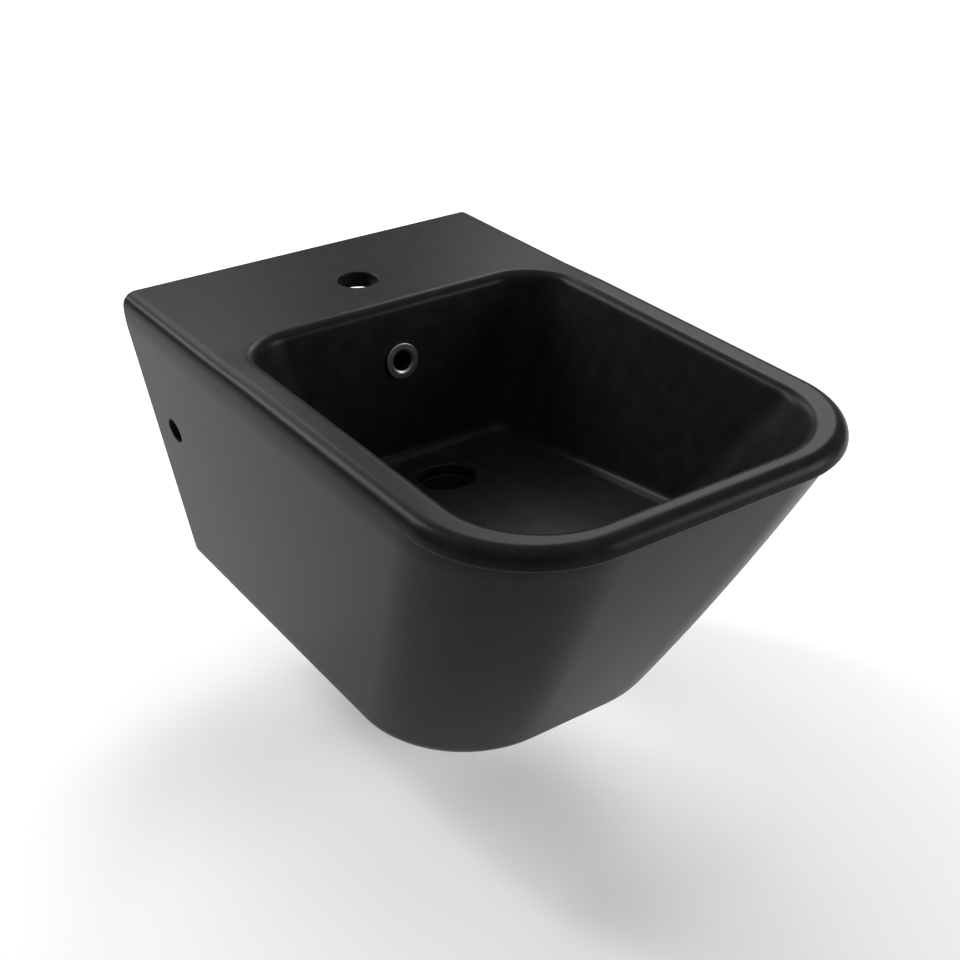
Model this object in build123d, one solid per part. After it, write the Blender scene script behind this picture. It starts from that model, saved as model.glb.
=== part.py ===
from build123d import *
import os
from math import asin, atan, cos, pi, radians, sin, tan

# A wall-hung bidet: one fired ceramic body with a square-fronted basin, an overflow ring in the rear
# wall of the basin, and the concealed fixings that hang the body on two studs.
# Millimetres. X to the right, Y into the wall, Z up. The front faces -Y.
# The origin lies on the wall face, midway between the two wall studs.

# Ceramic body, outside
body_width = 366.0
body_depth = 556.5
body_height = 288.5
deck_above_studs = 120.0
flank_lean = radians(9.55)
flank_bend_radius = 114.0
front_lean = radians(28.3)
front_bulge = 4.2
skirt_corner_radius = 110.0
underside_corner_radius = 98.0
underside_edge_radius = 18.0

# Rolled rim round the top
rim_rise = 1.5
rim_height = 15.0
rim_roll_radius = 12.0
rim_lip_radius = 2.5
rim_overhang = 3.0
rim_corner_radius = 98.0
ramp_middle = 186.0
ramp_length = 76.0

# Basin, at the deck and at the floor
basin_half_width = 152.5
basin_back = 153.0
basin_front = 534.0
basin_back_radius = 45.0
basin_front_radius = 75.0
basin_roll_radius = 10.0
floor_depth = 134.5
floor_half_width = 98.0
floor_back = 172.0
floor_front = 440.0
floor_back_radius = 20.0
floor_front_radius = 55.0
floor_fall = radians(6.0)
floor_edge_radius = 12.0

# Drain
drain_y = -229.0
drain_mouth_radius = 25.0
drain_mouth_depth = 12.0
drain_mouth_roll = 2.5
drain_radius = 22.5
drain_wall = 10.0
drain_length = 36.0

# Walls and the open back
shell_wall = 11.0
deck_wall = 14.0
bowl_wall = 11.0
flange_width = 22.0
flange_depth = 16.0
cavity_corner_radius = 20.0
service_half_width = 80.0
service_back = 60.0
service_front = 330.0
service_corner_radius = 30.0

# Tap hole
tap_hole_y = -90.0
tap_hole_radius = 17.5
glaze_radius = 1.5

# Overflow, its duct and its trim ring
overflow_depth = 51.5
overflow_hole_radius = 12.0
duct_half_width = 14.0
duct_depth = 14.0
duct_wall = 8.0
duct_headroom = 2.0
port_radius = 9.0
port_drop = 10.0
ring_radius = 16.0
ring_bore_radius = 9.0
ring_thickness = 2.4
ring_barrel_radius = 10.5
ring_barrel_length = 15.0
ring_edge_radius = 0.8
seal_length = 9.0
seal_inset = 1.0

# Side fixing holes
side_hole_y = -44.5
side_hole_radius = 11.0
side_boss_radius = 22.0
side_boss_face = 138.0

# Wall studs and their nuts
stud_spacing = 180.0
stud_anchor_radius = 6.0
stud_anchor_length = 60.0
stud_tip_length = 8.0
stud_tip_radius = 2.0
stud_thread_radius = 5.9
stud_thread_length = 26.0
washer_radius = 12.0
washer_thickness = 2.5
stud_nut_across_flats = 18.0
stud_nut_height = 10.0

# Fixing brackets, clamp screws and their bushes
bracket_thickness = 5.0
bracket_height = 44.0
bracket_reach = 64.0
bracket_inner_edge = 70.0
bracket_bend_radius = 4.0
bracket_boss_gap = 5.0
bracket_corner_radius = 8.0
clamp_screw_radius = 5.0
clamp_screw_length = 38.0
clamp_screw_recess = 3.0
socket_across_flats = 5.0
socket_depth = 6.0
clamp_nut_across_flats = 17.0
clamp_nut_height = 8.0
bush_length = 12.0
bush_inset = 1.0
bush_chamfer = 0.8

# Clearances
thread_clearance = 0.05
bush_clearance = 0.05
hole_clearance = 0.6

# How far a cutting shape runs past a face, freely and where another face is near
overrun = 10.0
short_overrun = 1.0

# How near a place an edge has to be to be picked
pick_distance = 1.5

# Derived places
deck_top = deck_above_studs
rim_top = deck_top + rim_rise
rim_foot = rim_top - rim_height
underside = deck_top - body_height
half_width = body_width / 2
stud_x = stud_spacing / 2
basin_lean = atan((floor_back - basin_back) / floor_depth)
drain_mouth_z = deck_top - floor_depth - drain_mouth_depth
drain_end_z = drain_mouth_z - drain_length
port_z = drain_mouth_z - port_drop - port_radius
bracket_face = side_boss_face - bracket_boss_gap
bush_start = side_boss_face + bush_inset
screw_end = bush_start + bush_length - clamp_screw_recess


def y_bar(radius, x, z, y_front, y_back):
    """A round bar along Y between two places."""
    base = Plane((x, y_back, z), x_dir=(1, 0, 0), z_dir=(0, -1, 0))
    return extrude(base * Circle(radius), amount=y_back - y_front)


def x_bar(radius, y, z, x_start, x_end):
    """A round bar along X between two places."""
    base = Plane((x_start, y, z), x_dir=(0, 1, 0), z_dir=(1, 0, 0))
    return extrude(base * Circle(radius), amount=x_end - x_start)


def z_bar(radius, x, y, z_low, z_high):
    """A round bar along Z between two heights."""
    return extrude(Pos(x, y, z_low) * Circle(radius), amount=z_high - z_low)


def flank_x(z, wall=0.0):
    """Half width of the body at height z, less a wall: upright, then a soft bend, then a lean."""
    bend_drop = flank_bend_radius * sin(flank_lean)
    if z >= rim_foot:
        return half_width - wall
    if z > rim_foot - bend_drop:
        lean = asin((rim_foot - z) / flank_bend_radius)
        return half_width - flank_bend_radius * (1 - cos(lean)) - wall / cos(lean)
    bend_x = half_width - flank_bend_radius * (1 - cos(flank_lean))
    return bend_x - (rim_foot - bend_drop - z) * tan(flank_lean) - wall / cos(flank_lean)


def front_y(z, wall=0.0):
    """Place of the sloping, slightly bulged front face at height z, less a wall."""
    share = (rim_foot - z) / (rim_foot - underside)
    bulge = front_bulge * 4 * share * (1 - share)
    foot = -(body_depth - rim_overhang)
    return foot + (rim_foot - z) * tan(front_lean) - bulge + wall / cos(front_lean)


def skirt_section(z, wall=0.0):
    """Plan of the body at height z, less a wall, run on behind the wall face."""
    share = (rim_foot - z) / (rim_foot - underside)
    radius = skirt_corner_radius + (underside_corner_radius - skirt_corner_radius) * share - wall
    depth = overrun - front_y(z, wall)
    plan = Rectangle(2 * flank_x(z, wall), depth, align=(Align.CENTER, Align.MAX))
    plan = fillet(plan.vertices().group_by(Axis.Y)[0], radius)
    return Pos(0, overrun, z) * plan


def skirt(top, bottom, back, wall=0.0):
    """The body below the rim as a solid, or the hollow in it where a wall is given."""
    start = min(top, rim_foot)
    leans = [flank_lean / 3, flank_lean * 2 / 3, flank_lean]
    bend = [start] + [rim_foot - flank_bend_radius * sin(lean) for lean in leans]
    straight = [bend[-1], (bend[-1] + bottom) / 2, bottom]
    block = loft([skirt_section(z, wall) for z in straight])
    low = [e for e in block.edges() if abs(e.center().Z - bottom) < 0.01 and e.center().Y < 0]
    block = fillet(low, underside_edge_radius - wall)
    block += loft([skirt_section(z, wall) for z in bend])
    if top > start:
        block += extrude(skirt_section(start, wall), amount=top - start)
    back_face = Plane((0, back, 0), x_dir=(1, 0, 0), z_dir=(0, -1, 0))
    return split(block, bisect_by=back_face, keep=Keep.TOP)


def crown():
    """Everything under the top surface: a flat deck, then a gentle rise to the rim."""
    back_end = (-(ramp_middle - ramp_length / 2), deck_top)
    front_end = (-(ramp_middle + ramp_length / 2), rim_top)
    middle = (-ramp_middle, deck_top + rim_rise / 2)
    first = TangentArc(back_end, middle, tangent=(-1, 0))
    second = TangentArc(middle, front_end, tangent=first % 1)
    past_front = -(body_depth + overrun)
    past_foot = rim_foot - overrun
    edges = [
        Line((overrun, deck_top), back_end),
        first,
        second,
        Line(front_end, (past_front, rim_top)),
        Line((past_front, rim_top), (past_front, past_foot)),
        Line((past_front, past_foot), (overrun, past_foot)),
        Line((overrun, past_foot), (overrun, deck_top)),
    ]
    return extrude(Plane.YZ * make_face(edges), amount=half_width + overrun, both=True)


def rim():
    """Deck and rim: a slab with round front corners, a rolled top edge and a small lip below."""
    plan = Rectangle(body_width, body_depth, align=(Align.CENTER, Align.MAX))
    plan = fillet(plan.vertices().group_by(Axis.Y)[0], rim_corner_radius)
    slab = extrude(Pos(0, 0, rim_foot) * plan, amount=rim_height) & crown()
    outline = [e for e in slab.edges()
               if abs((e @ 0.5).X) > rim_roll_radius or (e @ 0.5).Y < -body_depth / 2]
    top = [e for e in outline if e.center().Z > deck_top - 0.01 and e.center().Y < -1]
    slab = fillet(top, rim_roll_radius)
    lip = [e for e in slab.edges() if abs(e.center().Z - rim_foot) < 0.01 and e.center().Y < -1]
    return fillet(lip, rim_lip_radius)


def basin_back_at(down):
    """Distance of the rear basin wall from the wall face, so far down below the deck."""
    return basin_back + (floor_back - basin_back) * down / floor_depth


def basin_section(down, wall=0.0):
    """Plan of the basin, so far down below the deck, grown by a wall."""
    share = down / floor_depth
    half = basin_half_width + (floor_half_width - basin_half_width) * share + wall
    back = wall - basin_back_at(down)
    front = -(basin_front + (floor_front - basin_front) * share) - wall
    back_radius = basin_back_radius + (floor_back_radius - basin_back_radius) * share + wall
    front_radius = basin_front_radius + (floor_front_radius - basin_front_radius) * share + wall
    plan = Pos(0, back) * Rectangle(2 * half, back - front, align=(Align.CENTER, Align.MAX))
    plan = fillet(plan.vertices().group_by(Axis.Y)[-1], back_radius)
    plan = fillet(plan.vertices().group_by(Axis.Y)[0], front_radius)
    return Pos(0, 0, deck_top - down) * plan


def basin(start, wall=0.0):
    """The basin hollow from so far down below the deck, or the bowl round it where a wall is given."""
    low = floor_depth + 2 * overrun + wall
    hollow = loft([basin_section(start, wall), basin_section(low, wall)], ruled=True)
    floor = Plane((0, drain_y, deck_top - floor_depth - wall / cos(floor_fall)), x_dir=(1, 0, 0),
                  z_dir=(0, sin(floor_fall), cos(floor_fall)))
    hollow = split(hollow, bisect_by=floor, keep=Keep.TOP)
    return fillet(hollow.faces().sort_by(Axis.Z)[0].edges(), floor_edge_radius + wall)


def duct(wall=0.0):
    """The overflow passage down behind the bowl and forward to the drain, grown by a wall."""
    top = deck_top - overflow_depth + overflow_hole_radius + duct_headroom + wall
    low = port_z - port_radius - wall
    turn = port_z + port_radius + wall
    behind_bowl = bowl_wall / cos(basin_lean) - wall
    near_top = behind_bowl - basin_back_at(deck_top - top)
    near_turn = behind_bowl - basin_back_at(deck_top - turn)
    near_low = behind_bowl - basin_back_at(deck_top - low)
    depth = duct_depth + 2 * wall
    forward = drain_y + drain_radius + drain_wall / 2 - wall
    side_view = make_face(Polyline(
        (near_top, top), (near_top + depth, top), (near_low + depth, low),
        (forward, low), (forward, turn), (near_turn, turn), close=True))
    return extrude(Plane.YZ * side_view, amount=duct_half_width + wall, both=True)


def overflow_place(out=0.0):
    """Plane on the rear basin wall at the overflow, its normal pointing into the basin."""
    origin = Vector(0, -basin_back_at(overflow_depth), deck_top - overflow_depth)
    normal = Vector(0, -cos(basin_lean), sin(basin_lean))
    return Plane(origin + normal * out, x_dir=(1, 0, 0), z_dir=normal)


def overflow_bar(radius, out, inward):
    """A round bar along the overflow axis, from out in the basin to inward in the wall."""
    return extrude(overflow_place(-inward) * Circle(radius), amount=out + inward)


def back_cavity():
    """The hollow behind the bowl, its mouth through the back flange and the service opening below."""
    cavity = skirt(deck_top - deck_wall, underside + shell_wall, -flange_depth, shell_wall)
    mouth_top = deck_top - deck_wall
    mouth_low = underside + flange_width
    top_half = flank_x(mouth_top, flange_width)
    low_half = flank_x(mouth_low, flange_width)
    mouth = make_face(Polyline((-top_half, mouth_top), (top_half, mouth_top),
                               (low_half, mouth_low), (-low_half, mouth_low), close=True))
    mouth = fillet(mouth.vertices(), cavity_corner_radius)
    past_flange = Plane((0, overrun, 0), x_dir=(1, 0, 0), z_dir=(0, -1, 0))
    cavity += extrude(past_flange * mouth, amount=overrun + flange_depth + short_overrun)
    service = Pos(0, -service_back) * Rectangle(
        2 * service_half_width, service_front - service_back, align=(Align.CENTER, Align.MAX))
    service = fillet(service.vertices(), service_corner_radius)
    return cavity + extrude(Pos(0, 0, underside - overrun) * service, amount=2 * overrun + shell_wall)


def side_boss():
    """The thick place in the right flank round its fixing hole."""
    return x_bar(side_boss_radius, side_hole_y, 0, side_boss_face, flank_x(0, shell_wall / 2))


def side_hole():
    """The fixing hole through the right flank."""
    return x_bar(side_hole_radius, side_hole_y, 0, side_boss_face - overrun, half_width)


def edges_at(shape, place, length):
    """Edges of at least a given length whose middle lies at a place."""
    return [e for e in shape.edges() if e.length > length
            and abs(e.center(CenterOf.BOUNDING_BOX) - Vector(place)) < pick_distance]


def ceramic_body():
    """The whole fired casting."""
    hollow = basin(-overrun)
    body = rim() + skirt(rim_top - rim_roll_radius, underside, 0) - hollow
    inner_edge = [e for e in body.edges()
                  if e.center().Z > deck_top - 0.01 and hollow.distance_to(e @ 0.5) < 0.01]
    body = fillet(inner_edge, basin_roll_radius)

    kept = basin(deck_wall / 2, bowl_wall)
    kept += z_bar(drain_radius + drain_wall, 0, drain_y, drain_end_z, drain_mouth_z + drain_mouth_depth / 2)
    kept += duct(duct_wall)
    kept += side_boss() + mirror(side_boss(), about=Plane.YZ)
    body -= back_cavity() - kept

    floor_z = drain_mouth_z + drain_mouth_depth
    body -= duct()
    body -= overflow_bar(overflow_hole_radius, overrun, bowl_wall + short_overrun)
    body -= z_bar(drain_mouth_radius, 0, drain_y, drain_mouth_z, floor_z + overrun)
    body -= z_bar(drain_radius, 0, drain_y, drain_end_z - overrun, drain_mouth_z + short_overrun)
    body -= y_bar(port_radius, 0, port_z, drain_y, drain_y + drain_radius + drain_wall)
    body -= z_bar(tap_hole_radius, 0, tap_hole_y, rim_foot - overrun, rim_top + overrun)
    body -= side_hole() + mirror(side_hole(), about=Plane.YZ)

    glazed = edges_at(body, (0, tap_hole_y, deck_top), tap_hole_radius)
    glazed += edges_at(body, (flank_x(0), side_hole_y, 0), side_hole_radius)
    glazed += edges_at(body, (-flank_x(0), side_hole_y, 0), side_hole_radius)
    glazed += [e for e in edges_at(body, (0, drain_y, drain_mouth_z), drain_radius)
               if e.length < 2 * pi * drain_mouth_radius - pick_distance]
    body = fillet(glazed, glaze_radius)
    return fillet(edges_at(body, (0, drain_y, floor_z), drain_mouth_radius), drain_mouth_roll)


def overflow_ring():
    """Trim ring: a flat flange with a rounded front edge, on a barrel that goes into the wall."""
    flange = overflow_bar(ring_radius, ring_thickness, 0)
    front_face = flange.faces().sort_by(Axis.Y)[0]
    flange = fillet(front_face.edges(), ring_edge_radius)
    ring = flange + overflow_bar(ring_barrel_radius, 0, ring_barrel_length)
    return ring - overflow_bar(ring_bore_radius, ring_thickness + short_overrun, ring_barrel_length + short_overrun)


def overflow_seal():
    """Elastic sleeve between the ring's barrel and its hole in the ceramic."""
    deep = seal_inset + seal_length
    seal = overflow_bar(overflow_hole_radius - bush_clearance, -seal_inset, deep)
    return seal - overflow_bar(ring_barrel_radius + bush_clearance, 0, deep + short_overrun)


def wall_stud():
    """Stud at the right: a coned anchor end in the wall and a thinner threaded end for the nut."""
    cone_start = stud_anchor_length - stud_tip_length
    stud = y_bar(stud_anchor_radius, stud_x, 0, 0, cone_start)
    tip_base = Plane((stud_x, cone_start, 0), x_dir=(1, 0, 0), z_dir=(0, 1, 0))
    tip_end = tip_base.offset(stud_tip_length)
    stud += loft([tip_base * Circle(stud_anchor_radius), tip_end * Circle(stud_tip_radius)])
    return stud + y_bar(stud_thread_radius, stud_x, 0, -stud_thread_length, 0)


def stud_washer():
    """Flat washer between the bracket and the stud nut."""
    back = -bracket_thickness
    front = back - washer_thickness
    washer = y_bar(washer_radius, stud_x, 0, front, back)
    bore = stud_thread_radius + hole_clearance
    return washer - y_bar(bore, stud_x, 0, front - short_overrun, back + short_overrun)


def stud_nut():
    """Hexagon nut on the wall stud."""
    back = -(bracket_thickness + washer_thickness)
    base = Plane((stud_x, back, 0), x_dir=(1, 0, 0), z_dir=(0, -1, 0))
    hexagon = RegularPolygon(stud_nut_across_flats / 2, 6, major_radius=False)
    nut = extrude(base * hexagon, amount=stud_nut_height)
    bore = stud_thread_radius + thread_clearance
    front = back - stud_nut_height
    return nut - y_bar(bore, stud_x, 0, front - short_overrun, back + short_overrun)


def fixing_bracket():
    """Steel angle at the right: one leg on the wall, the other beside the side hole."""
    wall_leg = Rectangle(bracket_face - bracket_inner_edge, bracket_thickness, align=(Align.MAX, Align.MAX))
    side_leg = Rectangle(bracket_thickness, bracket_reach, align=(Align.MAX, Align.MAX))
    angle = Pos(bracket_face, 0) * (wall_leg + side_leg)
    outer = angle.vertices().sort_by_distance((bracket_face, 0, 0))[0]
    angle = fillet(outer, bracket_bend_radius + bracket_thickness)
    inner_place = (bracket_face - bracket_thickness, -bracket_thickness, 0)
    inner = angle.vertices().sort_by_distance(inner_place)[0]
    angle = fillet(inner, bracket_bend_radius)
    bracket = extrude(Pos(0, 0, -bracket_height / 2) * angle, amount=bracket_height)
    ends = bracket.edges().filter_by(Axis.Y).group_by(Axis.X)[0]
    ends += bracket.edges().filter_by(Axis.X).group_by(Axis.Y)[0]
    bracket = fillet(ends, bracket_corner_radius)
    stud_way = stud_anchor_radius + hole_clearance
    bracket -= y_bar(stud_way, stud_x, 0, -bracket_thickness - short_overrun, short_overrun)
    screw_way = clamp_screw_radius + hole_clearance
    start = bracket_face - bracket_thickness - short_overrun
    return bracket - x_bar(screw_way, side_hole_y, 0, start, bracket_face + short_overrun)


def clamp_nut():
    """Hexagon nut welded to the bracket's side leg."""
    start = bracket_face - bracket_thickness - clamp_nut_height
    base = Plane((start, side_hole_y, 0), x_dir=(0, 0, 1), z_dir=(1, 0, 0))
    hexagon = RegularPolygon(clamp_nut_across_flats / 2, 6, major_radius=False)
    nut = extrude(base * hexagon, amount=clamp_nut_height)
    bore = clamp_screw_radius + thread_clearance
    end = start + clamp_nut_height
    return nut - x_bar(bore, side_hole_y, 0, start - short_overrun, end + short_overrun)


def clamp_bush():
    """Plastic collar that centres the clamp screw in the side hole of the ceramic."""
    end = bush_start + bush_length
    bush = x_bar(side_hole_radius - bush_clearance, side_hole_y, 0, bush_start, end)
    bush = chamfer(bush.edges().filter_by(GeomType.CIRCLE), bush_chamfer)
    bore = clamp_screw_radius + thread_clearance
    return bush - x_bar(bore, side_hole_y, 0, bush_start - short_overrun, end + short_overrun)


def clamp_screw():
    """Set screw through the clamp nut into the bush, with a hexagon socket at its outer end."""
    screw = x_bar(clamp_screw_radius, side_hole_y, 0, screw_end - clamp_screw_length, screw_end)
    base = Plane((screw_end - socket_depth, side_hole_y, 0), x_dir=(0, 0, 1), z_dir=(1, 0, 0))
    hexagon = RegularPolygon(socket_across_flats / 2, 6, major_radius=False)
    return screw - extrude(base * hexagon, amount=socket_depth + short_overrun)


if __name__ == "__main__":
    parts = {
        "ceramic_body": ceramic_body(),
        "overflow_ring": overflow_ring(),
        "overflow_seal": overflow_seal(),
    }
    pair_makers = [wall_stud, stud_washer, stud_nut, fixing_bracket, clamp_nut, clamp_bush, clamp_screw]
    for make in pair_makers:
        right = make()
        parts["right_" + make.__name__] = right
        parts["left_" + make.__name__] = mirror(right, about=Plane.YZ)
    os.makedirs("parts", exist_ok=True)
    for name, shape in parts.items():
        export_step(shape, f"parts/{name}.step")
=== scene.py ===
"""Wall-hung bidet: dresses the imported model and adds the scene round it.

Lengths in the size classes are millimetres and are scaled to metres where a mesh
is made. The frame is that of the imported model: X to the right, Y into the wall,
Z up, with the origin on the wall face midway between the wall studs.
"""

import logging
import math
from collections.abc import Callable
from dataclasses import dataclass, field, replace
from enum import Enum

import bmesh
import bpy
from bmesh.types import BMEdge, BMesh, BMFace, BMVert
from bpy.types import Material, Node, NodeSocket, Object
from mathutils import Matrix, Vector


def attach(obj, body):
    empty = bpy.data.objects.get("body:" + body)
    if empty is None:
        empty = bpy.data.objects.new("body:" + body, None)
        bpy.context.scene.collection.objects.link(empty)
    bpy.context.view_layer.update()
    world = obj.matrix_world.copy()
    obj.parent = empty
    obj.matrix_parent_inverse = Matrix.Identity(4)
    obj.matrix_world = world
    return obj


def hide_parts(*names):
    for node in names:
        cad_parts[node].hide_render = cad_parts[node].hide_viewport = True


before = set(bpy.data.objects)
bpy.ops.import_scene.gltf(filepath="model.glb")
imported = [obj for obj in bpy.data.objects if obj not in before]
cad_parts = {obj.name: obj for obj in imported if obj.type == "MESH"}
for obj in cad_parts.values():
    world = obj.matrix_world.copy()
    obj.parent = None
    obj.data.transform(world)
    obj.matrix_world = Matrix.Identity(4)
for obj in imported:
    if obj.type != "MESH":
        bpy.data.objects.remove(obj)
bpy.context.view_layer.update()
LOG = logging.getLogger("bidet")

MM = 0.001
MERGE = 1e-6
SMOOTH_ANGLE = math.radians(32.0)
HOLE_ANGLE = math.radians(30.0)
EDGE_ANGLE = math.radians(40.0)
LEVEL_ANGLE = math.radians(0.6)
FLAT_WEIGHT = 60
RADIUS_SLACK = 0.05
FLOOR_LIKE = 0.9
SEAL_EDGE = 0.2
HEXAGON = 6

Colour = tuple[float, float, float]


class Side(Enum):
    """The two mirror-image sets of wall fixings, by the sign of their X."""

    LEFT = -1
    RIGHT = 1

    @property
    def word(self) -> str:
        """The word that starts the node names of this side.

        Returns:
            The word, left or right.
        """
        return self.name.lower()


class Cut(Enum):
    """How one solid changes another."""

    AWAY = "DIFFERENCE"
    ADD = "UNION"


# Shader building


class NodeGraph:
    """A material under construction."""

    def __init__(self, name: str) -> None:
        """Start an empty material.

        Args:
            name: The name of the material.
        """
        self.material = bpy.data.materials.new(name)
        self.material.use_nodes = True
        self.tree = self.material.node_tree
        self.tree.nodes.clear()
        self.output = self.tree.nodes.new("ShaderNodeOutputMaterial")
        self.place = self.tree.nodes.new("ShaderNodeTexCoord").outputs["Object"]

    def add(self, kind: str, **sockets: float | tuple[float, ...]) -> Node:
        """Add a node and set some of its sockets.

        Args:
            kind: The node's type without its ShaderNode prefix.
            **sockets: Socket values, the names in small letters with _ for a space.

        Returns:
            The new node.
        """
        node = self.tree.nodes.new("ShaderNode" + kind)
        for name, value in sockets.items():
            socket = next(item for item in node.inputs if item.name.lower().replace(" ", "_") == name)
            socket.default_value = value
        return node

    def join(self, source: NodeSocket, target: NodeSocket) -> None:
        """Link two sockets.

        Args:
            source: The output socket.
            target: The input socket.
        """
        self.tree.links.new(source, target)

    def noise(self, scale: float, detail: float,
              stretch: tuple[float, float, float] = (1, 1, 1)) -> NodeSocket:
        """A noise pattern on the object's own coordinates.

        Args:
            scale: How many blotches to a metre, about.
            detail: How many finer layers are added.
            stretch: Factors by which the coordinates are multiplied.

        Returns:
            The pattern's value socket.
        """
        mapping = self.add("Mapping", scale=stretch)
        noise = self.add("TexNoise", scale=scale, detail=detail, roughness=0.55)
        self.join(self.place, mapping.inputs["Vector"])
        self.join(mapping.outputs["Vector"], noise.inputs["Vector"])
        return noise.outputs["Fac"]

    def ramp(self, value: NodeSocket, stops: dict[float, Colour]) -> NodeSocket:
        """Turn a value into a colour.

        Args:
            value: The value socket.
            stops: Colours by position, two of them.

        Returns:
            The colour socket.
        """
        ramp = self.add("ValToRGB")
        for element, (position, colour) in zip(ramp.color_ramp.elements, stops.items()):
            element.position = position
            element.color = (*colour, 1)
        self.join(value, ramp.inputs["Fac"])
        return ramp.outputs["Color"]

    def span(self, value: NodeSocket, low: float, high: float) -> NodeSocket:
        """Spread a pattern from zero to one over a range.

        Args:
            value: The value socket.
            low: What zero becomes.
            high: What one becomes.

        Returns:
            The spread value's socket.
        """
        spread = self.add("MapRange", to_min=low, to_max=high)
        self.join(value, spread.inputs["Value"])
        return spread.outputs["Result"]

    def bump(self, value: NodeSocket, height: float) -> NodeSocket:
        """Make a pattern stand out a little.

        Args:
            value: The pattern's value socket.
            height: Its height in metres.

        Returns:
            The normal socket.
        """
        bump = self.add("Bump", strength=1.0, distance=height)
        self.join(value, bump.inputs["Height"])
        return bump.outputs["Normal"]

    def tint(self, shader: Node, pattern: NodeSocket, stops: dict[float, Colour]) -> None:
        """Colour a shader by a pattern.

        Args:
            shader: The shader node.
            pattern: The pattern's value socket.
            stops: Colours by position.
        """
        self.join(self.ramp(pattern, stops), shader.inputs["Base Color"])

    def finish(self, shader: Node) -> Material:
        """Join the shader to the output.

        Args:
            shader: The shader node.

        Returns:
            The finished material.
        """
        self.join(shader.outputs["BSDF"], self.output.inputs["Surface"])
        return self.material


def paler(colour: Colour, factor: float) -> Colour:
    """Multiply a colour.

    Args:
        colour: The colour, linear.
        factor: The factor.

    Returns:
        The new colour.
    """
    return tuple(channel * factor for channel in colour)


@dataclass(frozen=True)
class BlackGlaze:
    """Semi-matt black glaze: a faint waviness and slightly uneven gloss and depth."""

    colour: Colour = (0.009, 0.009, 0.0095)
    roughness: float = 0.3
    specular: float = 0.06
    mottle_scale: float = 60.0
    wave_scale: float = 16.0
    wave_height: float = 0.00012

    def build(self) -> Material:
        """Make the glaze.

        Returns:
            The finished material.
        """
        graph = NodeGraph("black_glaze")
        shader = graph.add("BsdfPrincipled", ior=1.5, specular_ior_level=self.specular)
        mottle = graph.noise(self.mottle_scale, 4.0)
        graph.tint(shader, mottle, {0.35: paler(self.colour, 0.8), 0.7: paler(self.colour, 1.25)})
        gloss = graph.span(mottle, self.roughness - 0.03, self.roughness + 0.04)
        graph.join(gloss, shader.inputs["Roughness"])
        graph.join(graph.bump(graph.noise(self.wave_scale, 1.0), self.wave_height), shader.inputs["Normal"])
        return graph.finish(shader)


@dataclass(frozen=True)
class Bisque:
    """Unglazed fired clay with faint darker clouds."""

    clay: Colour = (0.62, 0.56, 0.47)
    cloud: Colour = (0.5, 0.45, 0.38)
    cloud_scale: float = 90.0
    grain_scale: float = 700.0
    grain_height: float = 0.00008

    def build(self) -> Material:
        """Make the clay.

        Returns:
            The finished material.
        """
        graph = NodeGraph("bisque")
        shader = graph.add("BsdfPrincipled", roughness=0.85, specular_ior_level=0.2)
        graph.tint(shader, graph.noise(self.cloud_scale, 6.0), {0.38: self.cloud, 0.62: self.clay})
        grain = graph.bump(graph.noise(self.grain_scale, 3.0), self.grain_height)
        graph.join(grain, shader.inputs["Normal"])
        return graph.finish(shader)


@dataclass(frozen=True)
class Metal:
    """Plated or bare metal with fine uneven gloss, brushed along one axis."""

    name: str
    colour: Colour
    roughness: float
    brush: tuple[float, float, float] = (1, 1, 1)
    grain_scale: float = 450.0

    def build(self) -> Material:
        """Make the metal.

        Returns:
            The finished material.
        """
        graph = NodeGraph(self.name)
        shader = graph.add("BsdfPrincipled", metallic=1.0)
        grain = graph.noise(self.grain_scale, 3.0, self.brush)
        graph.tint(shader, grain, {0.3: paler(self.colour, 0.88), 0.75: self.colour})
        gloss = graph.span(grain, self.roughness - 0.05, self.roughness + 0.08)
        graph.join(gloss, shader.inputs["Roughness"])
        return graph.finish(shader)


@dataclass(frozen=True)
class SoftPlastic:
    """Rubber or nylon: a dull surface with a fine grain."""

    name: str
    colour: Colour
    roughness: float
    grain_scale: float = 900.0
    grain_height: float = 0.00003

    def build(self) -> Material:
        """Make the plastic.

        Returns:
            The finished material.
        """
        graph = NodeGraph(self.name)
        shader = graph.add("BsdfPrincipled", roughness=self.roughness)
        grain = graph.noise(self.grain_scale, 3.0)
        graph.tint(shader, grain, {0.3: paler(self.colour, 0.85), 0.7: paler(self.colour, 1.1)})
        graph.join(graph.bump(grain, self.grain_height), shader.inputs["Normal"])
        return graph.finish(shader)


@dataclass(frozen=True)
class Finishes:
    """Every finish of the product, built once."""

    glaze: Material = field(default_factory=BlackGlaze().build)
    bisque: Material = field(default_factory=Bisque().build)
    ring: Material = field(default_factory=Metal("ring_metal", (0.3, 0.3, 0.305), 0.3).build)
    zinc: Material = field(default_factory=Metal("zinc_steel", (0.6, 0.61, 0.63), 0.34).build)
    bracket: Material = field(
        default_factory=Metal("bracket_steel", (0.5, 0.51, 0.53), 0.42, (1, 1, 12)).build)
    screw: Material = field(default_factory=Metal("screw_steel", (0.42, 0.42, 0.43), 0.36).build)
    rubber: Material = field(default_factory=SoftPlastic("seal_rubber", (0.02, 0.02, 0.02), 0.7).build)
    # painted shade: the clamp bush deep in the side hole is coloured near black so that it stands for the
    # shade inside that hole
    nylon: Material = field(default_factory=SoftPlastic("bush_nylon", (0.03, 0.03, 0.032), 0.5).build)


# Mesh building


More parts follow.
